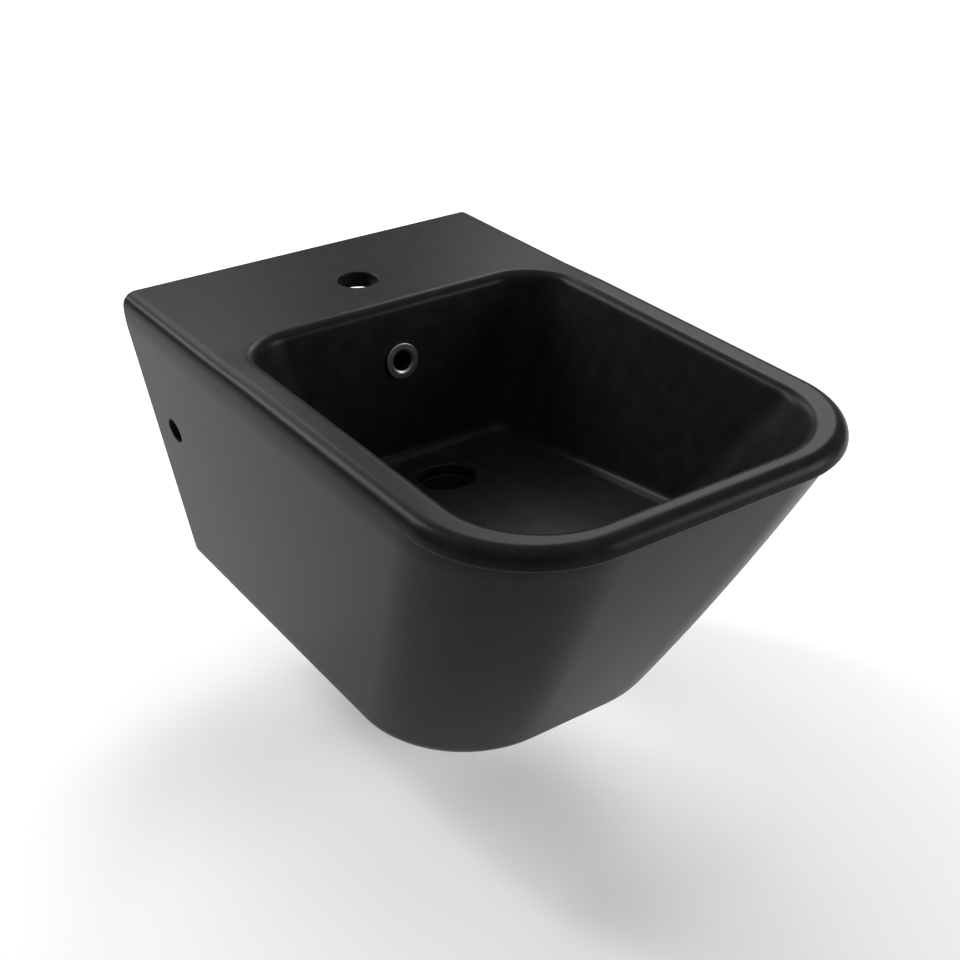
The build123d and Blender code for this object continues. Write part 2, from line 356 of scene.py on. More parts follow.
@dataclass(frozen=True)
class Plan:
    """A level rounded rectangle, millimetres."""

    height: float
    half: float
    back: float
    front: float
    back_radius: float
    front_radius: float

    def draw(self, bm: BMesh, segments: int) -> BMFace:
        """Draw the plan as one face.

        Args:
            bm: The mesh to draw in.
            segments: Steps round each rounded corner.

        Returns:
            The face.
        """
        spots = ((-self.half, self.back), (-self.half, self.front), (self.half, self.front),
                 (self.half, self.back))
        corners = [bm.verts.new((x * MM, y * MM, self.height * MM)) for x, y in spots]
        bm.faces.new(corners)
        backs, fronts = [corners[0], corners[3]], corners[1:3]
        arcs: list[BMVert] = []
        for pair, radius in ((backs, self.back_radius), (fronts, self.front_radius)):
            if radius <= 0:
                arcs += pair
                continue
            made = bmesh.ops.bevel(bm, geom=pair, offset=radius * MM, offset_type="OFFSET", segments=segments,
                                   profile=0.5, affect="VERTICES", material=-1)
            arcs += made["verts"]
        level = self.height * MM
        return next(face for face in arcs[0].link_faces if abs(face.calc_center_median().z - level) < MERGE)


def stack(plans: list[Plan], segments: int) -> BMesh:
    """Join level plans into one closed body.

    Args:
        plans: The plans, from one end to the other.
        segments: Steps round each rounded corner.

    Returns:
        The new mesh.
    """
    bm = bmesh.new()
    faces = [plan.draw(bm, segments) for plan in plans]
    for lower, upper in zip(faces[:-1], faces[1:]):
        bmesh.ops.bridge_loops(bm, edges=[*lower.edges, *upper.edges])
    bmesh.ops.delete(bm, geom=faces[1:-1], context="FACES_ONLY")
    return bm


def extrude(bm: BMesh, along: Vector) -> None:
    """Turn a flat mesh into a solid.

    Args:
        bm: The mesh, one flat face.
        along: How far and which way it runs.
    """
    made = bmesh.ops.extrude_face_region(bm, geom=bm.faces[:], use_keep_orig=True)
    moved = [item for item in made["geom"] if isinstance(item, BMVert)]
    bmesh.ops.translate(bm, verts=moved, vec=along * MM)


def cut_plane(bm: BMesh, place: Vector, normal: Vector, **cleared: bool) -> None:
    """Cut the whole mesh with a plane.

    Args:
        bm: The mesh.
        place: A point on the plane.
        normal: The plane's normal.
        **cleared: clear_inner or clear_outer, the side that is thrown away.
    """
    bmesh.ops.bisect_plane(bm, geom=[*bm.verts, *bm.edges, *bm.faces], dist=MERGE, plane_co=place,
                           plane_no=normal, **cleared)


def close_up(bm: BMesh) -> None:
    """Close the mesh's open side with a face.

    Args:
        bm: The mesh.
    """
    bmesh.ops.contextual_create(bm, geom=[edge for edge in bm.edges if edge.is_boundary])


def lathe(bm: BMesh, profile: list[tuple[float, float]], steps: int) -> None:
    """Spin a closed profile round the Z axis.

    Args:
        bm: The mesh to build in.
        profile: Radius and height of each corner.
        steps: Steps round the axis.
    """
    verts = [bm.verts.new((radius * MM, 0, height * MM)) for radius, height in profile]
    edges = [bm.edges.new((verts[index - 1], verts[index])) for index in range(len(verts))]
    bmesh.ops.spin(bm, geom=[*verts, *edges], cent=(0, 0, 0), axis=(0, 0, 1), angle=math.tau, steps=steps,
                   use_merge=True)
    bmesh.ops.remove_doubles(bm, verts=bm.verts, dist=MERGE)


def sharp_edges(bm: BMesh, angle: float) -> list[BMEdge]:
    """Find the edges at which two faces meet at an angle.

    Args:
        bm: The mesh.
        angle: The least angle between the faces' normals.

    Returns:
        The edges.
    """
    return [edge for edge in bm.edges if edge.is_manifold and edge.calc_face_angle(0) > angle]


def soften(bm: BMesh, edges: list[BMEdge], width: float, steps: int) -> None:
    """Round some edges.

    Args:
        bm: The mesh.
        edges: The edges.
        width: How far each rounding reaches from its edge.
        steps: Steps across the rounding.
    """
    bmesh.ops.bevel(bm, geom=edges, offset=width * MM, offset_type="OFFSET", segments=steps, profile=0.5,
                    affect="EDGES", clamp_overlap=True, material=-1)


def to_object(bm: BMesh, name: str, material: Material) -> Object:
    """Turn a finished mesh into an object.

    Args:
        bm: The mesh, which is freed.
        name: The object's name.
        material: Its finish.

    Returns:
        The object, linked to the scene.
    """
    bmesh.ops.recalc_face_normals(bm, faces=bm.faces)
    mesh = bpy.data.meshes.new(name)
    bm.to_mesh(mesh)
    bm.free()
    mesh.materials.append(material)
    piece = bpy.data.objects.new(name, mesh)
    bpy.context.scene.collection.objects.link(piece)
    return piece


def bar(radius: float, start: Vector, end: Vector, steps: int, material: Material) -> Object:
    """Make a bar between two places, to cut or to block with.

    Args:
        radius: Its radius.
        start: One end.
        end: The other end.
        steps: Steps round it.
        material: Its finish.

    Returns:
        The bar.
    """
    axis = end - start
    turn = axis.to_track_quat("Z", "Y").to_matrix().to_4x4()
    bm = bmesh.new()
    bmesh.ops.create_cone(bm, cap_ends=True, segments=steps, radius1=radius * MM, radius2=radius * MM,
                          depth=axis.length * MM, matrix=Matrix.Translation((start + end) / 2 * MM) @ turn)
    return to_object(bm, "bar", material)


def carve(body: Object, tool: Object, cut: Cut) -> None:
    """Change one solid by another and throw the tool away.

    Args:
        body: The solid that is changed.
        tool: The solid that changes it.
        cut: What is done.
    """
    modifier = body.modifiers.new("cut", "BOOLEAN")
    modifier.operation = cut.value
    modifier.solver = "EXACT"
    modifier.material_mode = "TRANSFER"
    modifier.object = tool
    depsgraph = bpy.context.evaluated_depsgraph_get()
    mesh = bpy.data.meshes.new_from_object(body.evaluated_get(depsgraph), depsgraph=depsgraph)
    body.modifiers.clear()
    old = body.data
    body.data = mesh
    mesh.name = body.name
    bpy.data.meshes.remove(old)
    tool_mesh = tool.data
    bpy.data.objects.remove(tool)
    bpy.data.meshes.remove(tool_mesh)


def shade(piece: Object) -> None:
    """Shade a piece smooth, with its sharp edges kept and its flats flat.

    Args:
        piece: The piece.
    """
    mesh = piece.data
    mesh.shade_smooth()
    mesh.set_sharp_from_angle(angle=SMOOTH_ANGLE)
    weighted = piece.modifiers.new("flat_faces", "WEIGHTED_NORMAL")
    weighted.mode = "FACE_AREA"
    weighted.weight = FLAT_WEIGHT
    weighted.keep_sharp = True


def enrol(piece: Object, node: str) -> None:
    """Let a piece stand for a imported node.

    Args:
        piece: The finished piece.
        node: The node that it replaces.
    """
    shade(piece)
    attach(piece, "root")
    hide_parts(node)
    LOG.info("%s: %d faces", piece.name, len(piece.data.polygons))


# The ceramic body


@dataclass(frozen=True)
class BodySizes:
    """Outside of the ceramic body, millimetres."""

    width: float = 366.0
    depth: float = 556.5
    deck_top: float = 120.0
    underside: float = -168.5
    rim_rise: float = 1.5
    rim_height: float = 15.0
    rim_roll: float = 12.0
    rim_lip: float = 2.5
    overhang: float = 3.0
    rim_corner: float = 98.0
    skirt_corner: float = 110.0
    underside_corner: float = 98.0
    underside_roll: float = 18.0
    flank_lean: float = math.radians(9.55)
    bend_radius: float = 114.0
    front_lean: float = math.radians(28.3)
    front_bulge: float = 4.2
    ramp_start: float = 148.0
    ramp_end: float = 224.0

    @property
    def rim_top(self) -> float:
        """Height of the rim's top.

        Returns:
            The height.
        """
        return self.deck_top + self.rim_rise

    @property
    def rim_foot(self) -> float:
        """Height at which the rim ends and the skirt starts.

        Returns:
            The height.
        """
        return self.rim_top - self.rim_height


@dataclass(frozen=True)
class BasinSizes:
    """The basin hollow, millimetres, measured down from the deck."""

    half: float = 152.5
    back: float = 153.0
    front: float = 534.0
    back_radius: float = 45.0
    front_radius: float = 75.0
    roll: float = 10.0
    floor_depth: float = 134.5
    floor_half: float = 98.0
    floor_back: float = 172.0
    floor_front: float = 440.0
    floor_back_radius: float = 20.0
    floor_front_radius: float = 55.0
    floor_fall: float = math.radians(6.0)
    floor_roll: float = 12.0
    overflow_depth: float = 51.5

    @property
    def back_lean(self) -> float:
        """Lean of the rear wall from upright.

        Returns:
            The lean.
        """
        return math.atan((self.floor_back - self.back) / self.floor_depth)

    def walls_at(self, down: float) -> tuple[float, ...]:
        """The basin's walls at a depth, without the roll at the rim.

        Args:
            down: Depth below the deck.

        Returns:
            Half width, distances of rear and front from the wall face, rear and front corner radius.
        """
        share = down / self.floor_depth
        pairs = ((self.half, self.floor_half), (self.back, self.floor_back), (self.front, self.floor_front),
                 (self.back_radius, self.floor_back_radius), (self.front_radius, self.floor_front_radius))
        return tuple(upper + (lower - upper) * share for upper, lower in pairs)


@dataclass(frozen=True)
class HoleSizes:
    """The holes and passages of the body, millimetres."""

    tap_y: float = -90.0
    tap_radius: float = 17.5
    drain_y: float = -229.0
    mouth_radius: float = 25.0
    mouth_depth: float = 12.0
    mouth_roll: float = 2.5
    throat_radius: float = 22.5
    throat_wall: float = 10.0
    throat_length: float = 36.0
    overflow_radius: float = 12.0
    duct_half: float = 14.0
    duct_depth: float = 14.0
    duct_wall: float = 8.0
    duct_headroom: float = 2.0
    port_radius: float = 9.0
    port_drop: float = 10.0
    side_y: float = -44.5
    side_radius: float = 11.0
    boss_radius: float = 22.0
    boss_face: float = 138.0
    glaze_edge: float = 1.5


@dataclass(frozen=True)
class WallSizes:
    """Walls and openings at the back and below, millimetres."""

    shell: float = 11.0
    deck: float = 14.0
    bowl: float = 11.0
    flange_width: float = 22.0
    flange_depth: float = 16.0
    mouth_corner: float = 20.0
    service_half: float = 80.0
    service_back: float = 60.0
    service_front: float = 330.0
    service_corner: float = 30.0


@dataclass
class CeramicBody:
    """The fired casting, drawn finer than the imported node."""

    finishes: Finishes
    body: BodySizes = field(default_factory=BodySizes)
    basin: BasinSizes = field(default_factory=BasinSizes)
    holes: HoleSizes = field(default_factory=HoleSizes)
    walls: WallSizes = field(default_factory=WallSizes)
    past: float = 10.0
    segments: int = 20
    hole_steps: int = 72
    boss_steps: int = 64
    edge_steps: int = 4
    opening_steps: int = 10
    mouth_steps: int = 8
    rim_steps: int = 8
    lip_steps: int = 4
    bend_steps: int = 5
    skirt_steps: int = 14
    underside_steps: int = 10
    basin_roll_steps: int = 10
    basin_steps: int = 8
    cavity_steps: int = 8
    ramp_steps: int = 14
    floor_turns: tuple[int, ...] = (2, 12, 22, 32, 42, 52, 62, 72, 81)

    def flank_x(self, z: float, wall: float = 0.0) -> float:
        """Half width of the skirt at a height.

        Args:
            z: The height.
            wall: A wall to be taken off.

        Returns:
            The half width.
        """
        size = self.body
        drop = size.rim_foot - z
        if drop <= 0:
            return size.width / 2 - wall
        bend_drop = size.bend_radius * math.sin(size.flank_lean)
        if drop < bend_drop:
            lean = math.asin(drop / size.bend_radius)
            return size.width / 2 - size.bend_radius * (1 - math.cos(lean)) - wall / math.cos(lean)
        lean = size.flank_lean
        bend_x = size.width / 2 - size.bend_radius * (1 - math.cos(lean))
        return bend_x - (drop - bend_drop) * math.tan(lean) - wall / math.cos(lean)

    def front_y(self, z: float, wall: float = 0.0) -> float:
        """Place of the front face at a height.

        Args:
            z: The height.
            wall: A wall to be taken off.

        Returns:
            The place.
        """
        size = self.body
        drop = max(size.rim_foot - z, 0)
        share = drop / (size.rim_foot - size.underside)
        bulge = size.front_bulge * 4 * share * (1 - share)
        foot = -(size.depth - size.overhang)
        return foot + drop * math.tan(size.front_lean) - bulge + wall / math.cos(size.front_lean)

    @staticmethod
    def roll_inset(rise: float, radius: float, lean: float) -> float:
        """How far a rounding draws in a leaning wall near a level edge.

        Args:
            rise: Height above the edge, or depth below it.
            radius: Radius of the rounding.
            lean: Lean of the wall from upright.

        Returns:
            The distance.
        """
        turn = math.asin(min(max(1 - rise / radius, 0), 1))
        if turn <= lean:
            return 0.0
        return radius * (1 / math.cos(lean) - math.cos(turn) - math.sin(turn) * math.tan(lean))

    def skirt_plan(self, z: float, wall: float = 0.0) -> Plan:
        """Plan of the skirt at a height.

        Args:
            z: The height.
            wall: A wall to be taken off, for the hollow inside.

        Returns:
            The plan.
        """
        size = self.body
        share = max(size.rim_foot - z, 0) / (size.rim_foot - size.underside)
        radius = size.skirt_corner + (size.underside_corner - size.skirt_corner) * share - wall
        half, front = self.flank_x(z, wall), self.front_y(z, wall)
        if not wall:
            rise = z - size.underside
            radius -= self.roll_inset(rise, size.underside_roll, (size.flank_lean + size.front_lean) / 2)
            half -= self.roll_inset(rise, size.underside_roll, size.flank_lean)
            front += self.roll_inset(rise, size.underside_roll, size.front_lean)
        return Plan(z, half, self.past, front, 0, radius)

    def outside(self) -> Object:
        """The whole body before anything is cut out of it, with a level top.

        Returns:
            The solid.
        """
        size = self.body
        plans = []
        for step in range(self.rim_steps + 1):
            turn = math.pi / 2 * step / self.rim_steps
            inset = size.rim_roll * (1 - math.sin(turn))
            plans.append(self.rim_plan(size.rim_top - size.rim_roll * (1 - math.cos(turn)), inset, inset))
        for step in range(self.lip_steps + 1):
            turn = math.pi / 2 * step / self.lip_steps
            plans.append(self.rim_plan(size.rim_foot + size.rim_lip * (1 - math.sin(turn)), 0,
                                       size.rim_lip * (1 - math.cos(turn))))
        lean = size.flank_lean
        bend_drop = size.bend_radius * math.sin(lean)
        levels = [size.rim_foot - bend_drop * step / self.bend_steps for step in range(self.bend_steps + 1)]
        bend_end, roll_top = levels[-1], size.underside + size.underside_roll * (1 - math.sin(lean))
        levels += [bend_end + (roll_top - bend_end) * step / self.skirt_steps
                   for step in range(1, self.skirt_steps + 1)]
        for step in range(1, self.underside_steps + 1):
            turn = lean + (math.pi / 2 - lean) * step / self.underside_steps
            levels.append(size.underside + size.underside_roll * (1 - math.sin(turn)))
        plans += [self.skirt_plan(z) for z in levels]
        bm = stack(plans, self.segments)
        self.cut_back(bm)
        return to_object(bm, "ceramic_body_fired", self.finishes.glaze)

    def rim_plan(self, z: float, flank_inset: float, front_inset: float) -> Plan:
        """Plan of the rim, drawn in at the flanks and at the front.

        Args:
            z: The height.
            flank_inset: How far the flanks are drawn in.
            front_inset: How far the front is drawn in.

        Returns:
            The plan.
        """
        size = self.body
        return Plan(z, size.width / 2 - flank_inset, self.past, -size.depth + front_inset, 0,
                    size.rim_corner - flank_inset)

    @staticmethod
    def cut_back(bm: BMesh, place: float = 0.0) -> None:
        """Cut a mesh off upright at the wall face or parallel to it and close it.

        Args:
            bm: The mesh.
            place: Where it is cut.
        """
        cut_plane(bm, Vector((0, place * MM, 0)), Vector((0, 1, 0)), clear_outer=True)
        close_up(bm)

    def basin_plan(self, z: float) -> Plan:
        """Plan of the basin hollow at a height, flared where it rolls over into the rim.

        Args:
            z: The height.

        Returns:
            The plan.
        """
        size = self.basin
        half, back, front, back_radius, front_radius = size.walls_at(self.body.deck_top - z)
        below = max(self.body.rim_top - z, 0)
        leans = [math.atan((wide - narrow) / size.floor_depth) for wide, narrow in (
            (size.half, size.floor_half), (size.floor_back, size.back), (size.front, size.floor_front))]
        side, rear, fore = (self.roll_inset(below, size.roll, lean) for lean in leans)
        return Plan(z, half + side, rear - back, -front - fore, back_radius + (side + rear) / 2,
                    front_radius + (side + fore) / 2)

    def hollow(self) -> Object:
        """The basin hollow, with its rolled rim above and its rounded floor edge below.

        Returns:
            The solid to be taken away.
        """
        size = self.basin
        levels = [self.body.rim_top + self.past]
        for step in range(self.basin_roll_steps + 1):
            turn = math.pi / 2 * (1 - step / self.basin_roll_steps)
            levels.append(self.body.rim_top - size.roll * (1 - math.sin(turn)))
        first, last = levels[-1], self.body.deck_top - size.floor_depth - 2 * self.past
        levels += [first + (last - first) * step / self.basin_steps
                   for step in range(1, self.basin_steps + 1)]
        bm = stack([self.basin_plan(z) for z in levels], self.segments)
        self.round_floor(bm)
        return to_object(bm, "hollow", self.finishes.glaze)

    def floor_plane(self, above: float) -> tuple[Vector, Vector]:
        """The plane of the basin floor, or one above it.

        Args:
            above: How far above, square to the floor.

        Returns:
            A point on the plane and its upward normal.
        """
        fall = self.basin.floor_fall
        normal = Vector((0, math.sin(fall), math.cos(fall)))
        origin = Vector((0, self.holes.drain_y, self.body.deck_top - self.basin.floor_depth)) * MM
        return origin + normal * above * MM, normal

    def round_floor(self, bm: BMesh) -> None:
        """Cut the hollow off at its sloping floor and round the floor's edge.

        Args:
            bm: The hollow.
        """
        radius = self.basin.floor_roll
        origin, up = self.floor_plane(0)
        cut_plane(bm, origin, up, clear_inner=True)
        for angle in self.floor_turns:
            cut_plane(bm, *self.floor_plane(radius * (1 - math.sin(math.radians(angle)))))
        bm.normal_update()
        bmesh.ops.recalc_face_normals(bm, faces=bm.faces)
        moves = {}
        for vert in bm.verts:
            rise = (vert.co - origin).dot(up) / MM
            walls = [face.normal for face in vert.link_faces if abs(face.normal.dot(up)) < FLOOR_LIKE]
            if rise < radius and walls:
                normal = sum(walls, Vector()).normalized()
                lean = math.asin(-normal.dot(up))
                inward = -(normal - up * normal.dot(up)).normalized()
                moves[vert] = inward * self.roll_inset(rise, radius, lean) * MM
        for vert, move in moves.items():
            vert.co += move
        close_up(bm)

    def bowl_plan(self, z: float) -> Plan:
        """Plan of the basin's walls from outside at a height.

        Args:
            z: The height.

        Returns:
            The plan.
        """
        wall = self.walls.bowl
        half, back, front, back_radius, front_radius = self.basin.walls_at(self.body.deck_top - z)
        return Plan(z, half + wall, wall - back, -front - wall, back_radius + wall, front_radius + wall)

    def bowl(self) -> Object:
        """The basin's walls and floor as a block.

        Returns:
            The solid.
        """
        wall = self.walls.bowl
        top = self.body.deck_top - self.walls.deck / 2
        low = self.body.deck_top - self.basin.floor_depth - 2 * self.past - wall
        bm = stack([self.bowl_plan(top), self.bowl_plan(low)], self.segments)
        origin, up = self.floor_plane(-wall)
        cut_plane(bm, origin, up, clear_inner=True)
        close_up(bm)
        return to_object(bm, "bowl", self.finishes.bisque)

    def drain_heights(self) -> tuple[float, float, float]:
        """Heights of the drain.

        Returns:
            The bottom of its mouth, its lower end and the middle of the overflow port.
        """
        mouth = self.body.deck_top - self.basin.floor_depth - self.holes.mouth_depth
        end = mouth - self.holes.throat_length
        port = mouth - self.holes.port_drop - self.holes.port_radius
        return mouth, end, port

    def duct(self, wall: float, material: Material) -> Object:
        """The overflow passage behind and below the bowl, grown by a wall.

        Args:
            wall: The wall.
            material: The finish of its surface.

        Returns:
            The solid.
        """
        holes, size = self.holes, self.basin
        port = self.drain_heights()[2]
        behind = self.walls.bowl / math.cos(size.back_lean) - wall
        top = self.body.deck_top - size.overflow_depth + holes.overflow_radius + holes.duct_headroom + wall
        low, turn = port - holes.port_radius - wall, port + holes.port_radius + wall

        deep = holes.duct_depth + 2 * wall
        forward = holes.drain_y + holes.throat_radius + holes.throat_wall / 2 - wall
        upper, lower, bend = (behind - size.walls_at(self.body.deck_top - z)[1] for z in (top, low, turn))
        side = [(upper, top), (upper + deep, top), (lower + deep, low), (forward, low), (forward, turn),
                (bend, turn)]
        half = holes.duct_half + wall
        bm = bmesh.new()
        bm.faces.new([bm.verts.new(Vector((-half, y, z)) * MM) for y, z in side])
        extrude(bm, Vector((2 * half, 0, 0)))
        return to_object(bm, "duct", material)

    def cavity(self) -> Object:
        """The hollow behind the bowl, open at the back and at the service opening.

        Returns:
            The solid to be taken away.
        """
        walls, holes = self.walls, self.holes
        top = self.body.deck_top - walls.deck
        low = self.body.underside + walls.shell
        bm = stack([self.skirt_plan(top + (low - top) * step / self.cavity_steps, walls.shell)
                    for step in range(self.cavity_steps + 1)], self.segments)
        self.cut_back(bm, -walls.flange_depth)
        cavity = to_object(bm, "cavity", self.finishes.bisque)

        bm = bmesh.new()
        mouth_low = self.body.underside + walls.flange_width
        wide, narrow = self.flank_x(top, walls.flange_width), self.flank_x(mouth_low, walls.flange_width)
        corners = [bm.verts.new(Vector((x, self.past, z)) * MM) for x, z in (
            (-wide, top), (wide, top), (narrow, mouth_low), (-narrow, mouth_low))]
        bm.faces.new(corners)
        bmesh.ops.bevel(bm, geom=corners, offset=walls.mouth_corner * MM, offset_type="OFFSET",
                        segments=self.mouth_steps, profile=0.5, affect="VERTICES", material=-1)
        extrude(bm, Vector((0, -(self.past + walls.flange_depth + 1), 0)))
        carve(cavity, to_object(bm, "mouth", self.finishes.bisque), Cut.ADD)

        opening = Plan(self.body.underside - self.past, walls.service_half, -walls.service_back,
                       -walls.service_front, walls.service_corner, walls.service_corner)
        bm = stack([opening, replace(opening, height=low + self.past)], self.opening_steps)
        carve(cavity, to_object(bm, "service", self.finishes.bisque), Cut.ADD)

        mouth, end, _ = self.drain_heights()
        carve(cavity, self.bowl(), Cut.AWAY)
        boss = bar(holes.throat_radius + holes.throat_wall, Vector((0, holes.drain_y, end)),
                   Vector((0, holes.drain_y, mouth + holes.mouth_depth / 2)), self.boss_steps,
                   self.finishes.bisque)
        carve(cavity, boss, Cut.AWAY)
        carve(cavity, self.duct(holes.duct_wall, self.finishes.bisque), Cut.AWAY)
        for side in Side:
            boss = bar(holes.boss_radius, Vector((side.value * holes.boss_face, holes.side_y, 0)),
                       Vector((side.value * self.flank_x(0, walls.shell / 2), holes.side_y, 0)),
                       self.boss_steps, self.finishes.bisque)
            carve(cavity, boss, Cut.AWAY)
        return cavity

    def drill(self, piece: Object, radius: float, start: Vector, end: Vector) -> None:
        """Drill a glazed round hole.

        Args:
            piece: The solid.
            radius: The hole's radius.
            start: One end.
            end: The other end.
        """
        carve(piece, bar(radius, start, end, self.hole_steps, self.finishes.glaze), Cut.AWAY)

    def lower_deck(self, bm: BMesh) -> None:
        """Lower the top from the rim to the deck with a gentle ramp.

        Args:
            bm: The body.
        """
        size = self.body
        for step in range(self.ramp_steps + 1):
            place = -(size.ramp_start + (size.ramp_end - size.ramp_start) * step / self.ramp_steps)
            upper = [face for face in bm.faces if max(vert.co.z for vert in face.verts) > size.rim_foot * MM]
            geom = {item for face in upper for item in (face, *face.edges, *face.verts)}
            bmesh.ops.bisect_plane(bm, geom=list(geom), dist=MERGE, plane_co=(0, place * MM, 0),
                                   plane_no=(0, 1, 0))
        for vert in bm.verts:
            level = (vert.co.z / MM - size.rim_foot) / (size.rim_height - size.rim_roll)
            share = (vert.co.y / MM + size.ramp_end) / (size.ramp_end - size.ramp_start)
            share = min(max(share, 0), 1)
            smooth = share * share * (3 - 2 * share)
            vert.co.z -= min(max(level, 0), 1) * smooth * size.rim_rise * MM

    @staticmethod
    def ring_edges(bm: BMesh, radius: float, centre: Vector, axis: Vector,
                   chosen: Callable[[Vector], bool]) -> list[BMEdge]:
        """Find the sharp edges of a drilled hole.

        Args:
            bm: The body.
            radius: The hole's radius.
            centre: A place on the hole's axis.
            axis: The axis.
            chosen: Tells whether a vertex, in millimetres, is at the wanted end.

        Returns:
            The edges.
        """
        return [edge for edge in sharp_edges(bm, HOLE_ANGLE) if all(
            abs((vert.co / MM - centre).cross(axis).length - radius) < RADIUS_SLACK and chosen(vert.co / MM)
            for vert in edge.verts)]

    def build(self) -> None:
        """Build the casting and let it stand for its node."""
        holes, past = self.holes, self.past
        piece = self.outside()
        carve(piece, self.hollow(), Cut.AWAY)
        carve(piece, self.cavity(), Cut.AWAY)
        carve(piece, self.duct(0, self.finishes.glaze), Cut.AWAY)
        mouth, end, port = self.drain_heights()
        lean, down = self.basin.back_lean, self.basin.overflow_depth
        centre = Vector((0, -self.basin.walls_at(down)[1], self.body.deck_top - down))
        out = Vector((0, -math.cos(lean), math.sin(lean)))
        self.drill(piece, holes.overflow_radius, centre + out * past, centre - out * (self.walls.bowl + 1))
        drain = Vector((0, holes.drain_y, 0))
        up, across = Vector((0, 0, 1)), Vector((1, 0, 0))
        self.drill(piece, holes.mouth_radius, drain + up * mouth,
                   drain + up * (mouth + holes.mouth_depth + past))
        self.drill(piece, holes.throat_radius, drain + up * (end - past), drain + up * (mouth + 1))
        self.drill(piece, holes.port_radius, drain + up * port,
                   drain + up * port + Vector((0, holes.throat_radius + holes.throat_wall, 0)))
        tap = Vector((0, holes.tap_y, 0))
        self.drill(piece, holes.tap_radius, tap + up * (self.body.rim_foot - past),
                   tap + up * (self.body.rim_top + past))
        bolt = Vector((0, holes.side_y, 0))
        for side in Side:
            self.drill(piece, holes.side_radius, bolt + across * side.value * (holes.boss_face - past),
                       bolt + across * side.value * self.body.width / 2)

        bm = bmesh.new()
        bm.from_mesh(piece.data)
        bmesh.ops.remove_doubles(bm, verts=bm.verts, dist=MERGE)
        rolls = (
            (holes.tap_radius, tap, up, holes.glaze_edge, lambda spot: spot.z > self.body.deck_top - 1),
            (holes.side_radius, bolt, across, holes.glaze_edge,
             lambda spot: abs(spot.x) > self.flank_x(0) - self.walls.shell / 2),
            (holes.throat_radius, drain, up, holes.glaze_edge, lambda spot: abs(spot.z - mouth) < 0.1),
            (holes.mouth_radius, drain, up, holes.mouth_roll, lambda spot: spot.z > mouth + 1),
        )
        for radius, centre, axis, width, chosen in rolls:
            edges = self.ring_edges(bm, radius, centre, axis, chosen)
            LOG.info("hole edge of radius %.1f: %d edges", radius, len(edges))
            soften(bm, edges, width, self.edge_steps)
        self.lower_deck(bm)
        bm.to_mesh(piece.data)
        bm.free()
        enrol(piece, "ceramic_body")


# Ring, seal and fixings


@dataclass(frozen=True)
class RingSizes:
    """Overflow ring and its place, millimetres."""

    radius: float = 16.0
    bore: float = 9.0
    thickness: float = 2.4
    barrel: float = 10.5
    barrel_length: float = 15.0
    face_inner: float = 11.0
    dish_foot: float = 1.2
    edge_roll: float = 0.8
    back_bevel: float = 0.3
    edge_steps: int = 6
    steps: int = 96


@dataclass
class OverflowRing:
    """The metal trim ring: a dished, round-edged flange on a barrel."""

    finishes: Finishes
    basin: BasinSizes = field(default_factory=BasinSizes)
    size: RingSizes = field(default_factory=RingSizes)
    deck_top: float = 120.0

    def profile(self) -> list[tuple[float, float]]:
        """The ring's cross-section.

        Returns:
            Radius and height of each corner, the height counted into the basin.
        """
        size, roll = self.size, self.size.edge_roll
        height = size.thickness - roll
        turns = [math.pi / 2 * step / size.edge_steps for step in range(size.edge_steps + 1)]
        points = [(size.bore, -size.barrel_length), (size.bore, size.dish_foot)]
        points += [(size.face_inner - roll * math.cos(turn), height + roll * math.sin(turn))
                   for turn in turns]
        points += [(size.radius - roll + roll * math.sin(turn), height + roll * math.cos(turn))
                   for turn in turns]
        points += [(size.radius, size.back_bevel), (size.radius - size.back_bevel, 0), (size.barrel, 0),
                   (size.barrel, -size.barrel_length)]
        return points

    def build(self) -> None:
        """Build the ring and let it stand for its node."""
        basin = self.basin
        bm = bmesh.new()
        lathe(bm, self.profile(), self.size.steps)
        down = basin.overflow_depth
        centre = Vector((0, -basin.walls_at(down)[1], self.deck_top - down)) * MM
        turn = Matrix.Rotation(math.pi / 2 - basin.back_lean, 4, "X")
        bmesh.ops.transform(bm, matrix=Matrix.Translation(centre) @ turn, verts=bm.verts)
        enrol(to_object(bm, "overflow_ring_dished", self.finishes.ring), "overflow_ring")


@dataclass(frozen=True)
class FixingSizes:
    """Threads and sockets of the fixings, millimetres."""

    stud_x: float = 90.0
    stud_anchor: float = 6.0
    stud_anchor_length: float = 60.0
    anchor_depth_share: float = 0.42
    anchor_tip_length: float = 8.0
    anchor_tip_radius: float = 2.0
    stud_thread: float = 5.9
    stud_thread_length: float = 26.0
    stud_pitch: float = 1.75
    anchor_pitch: float = 3.0
    screw_radius: float = 5.0
    screw_pitch: float = 1.5
    screw_start: float = 110.0
    screw_end: float = 148.0
    screw_y: float = -44.5
    socket_flats: float = 5.0
    socket_depth: float = 6.0
    overlap: float = 1.0
    washer_edge: float = 0.25
    bracket_edge: float = 0.4
    nut_edge: float = 0.5


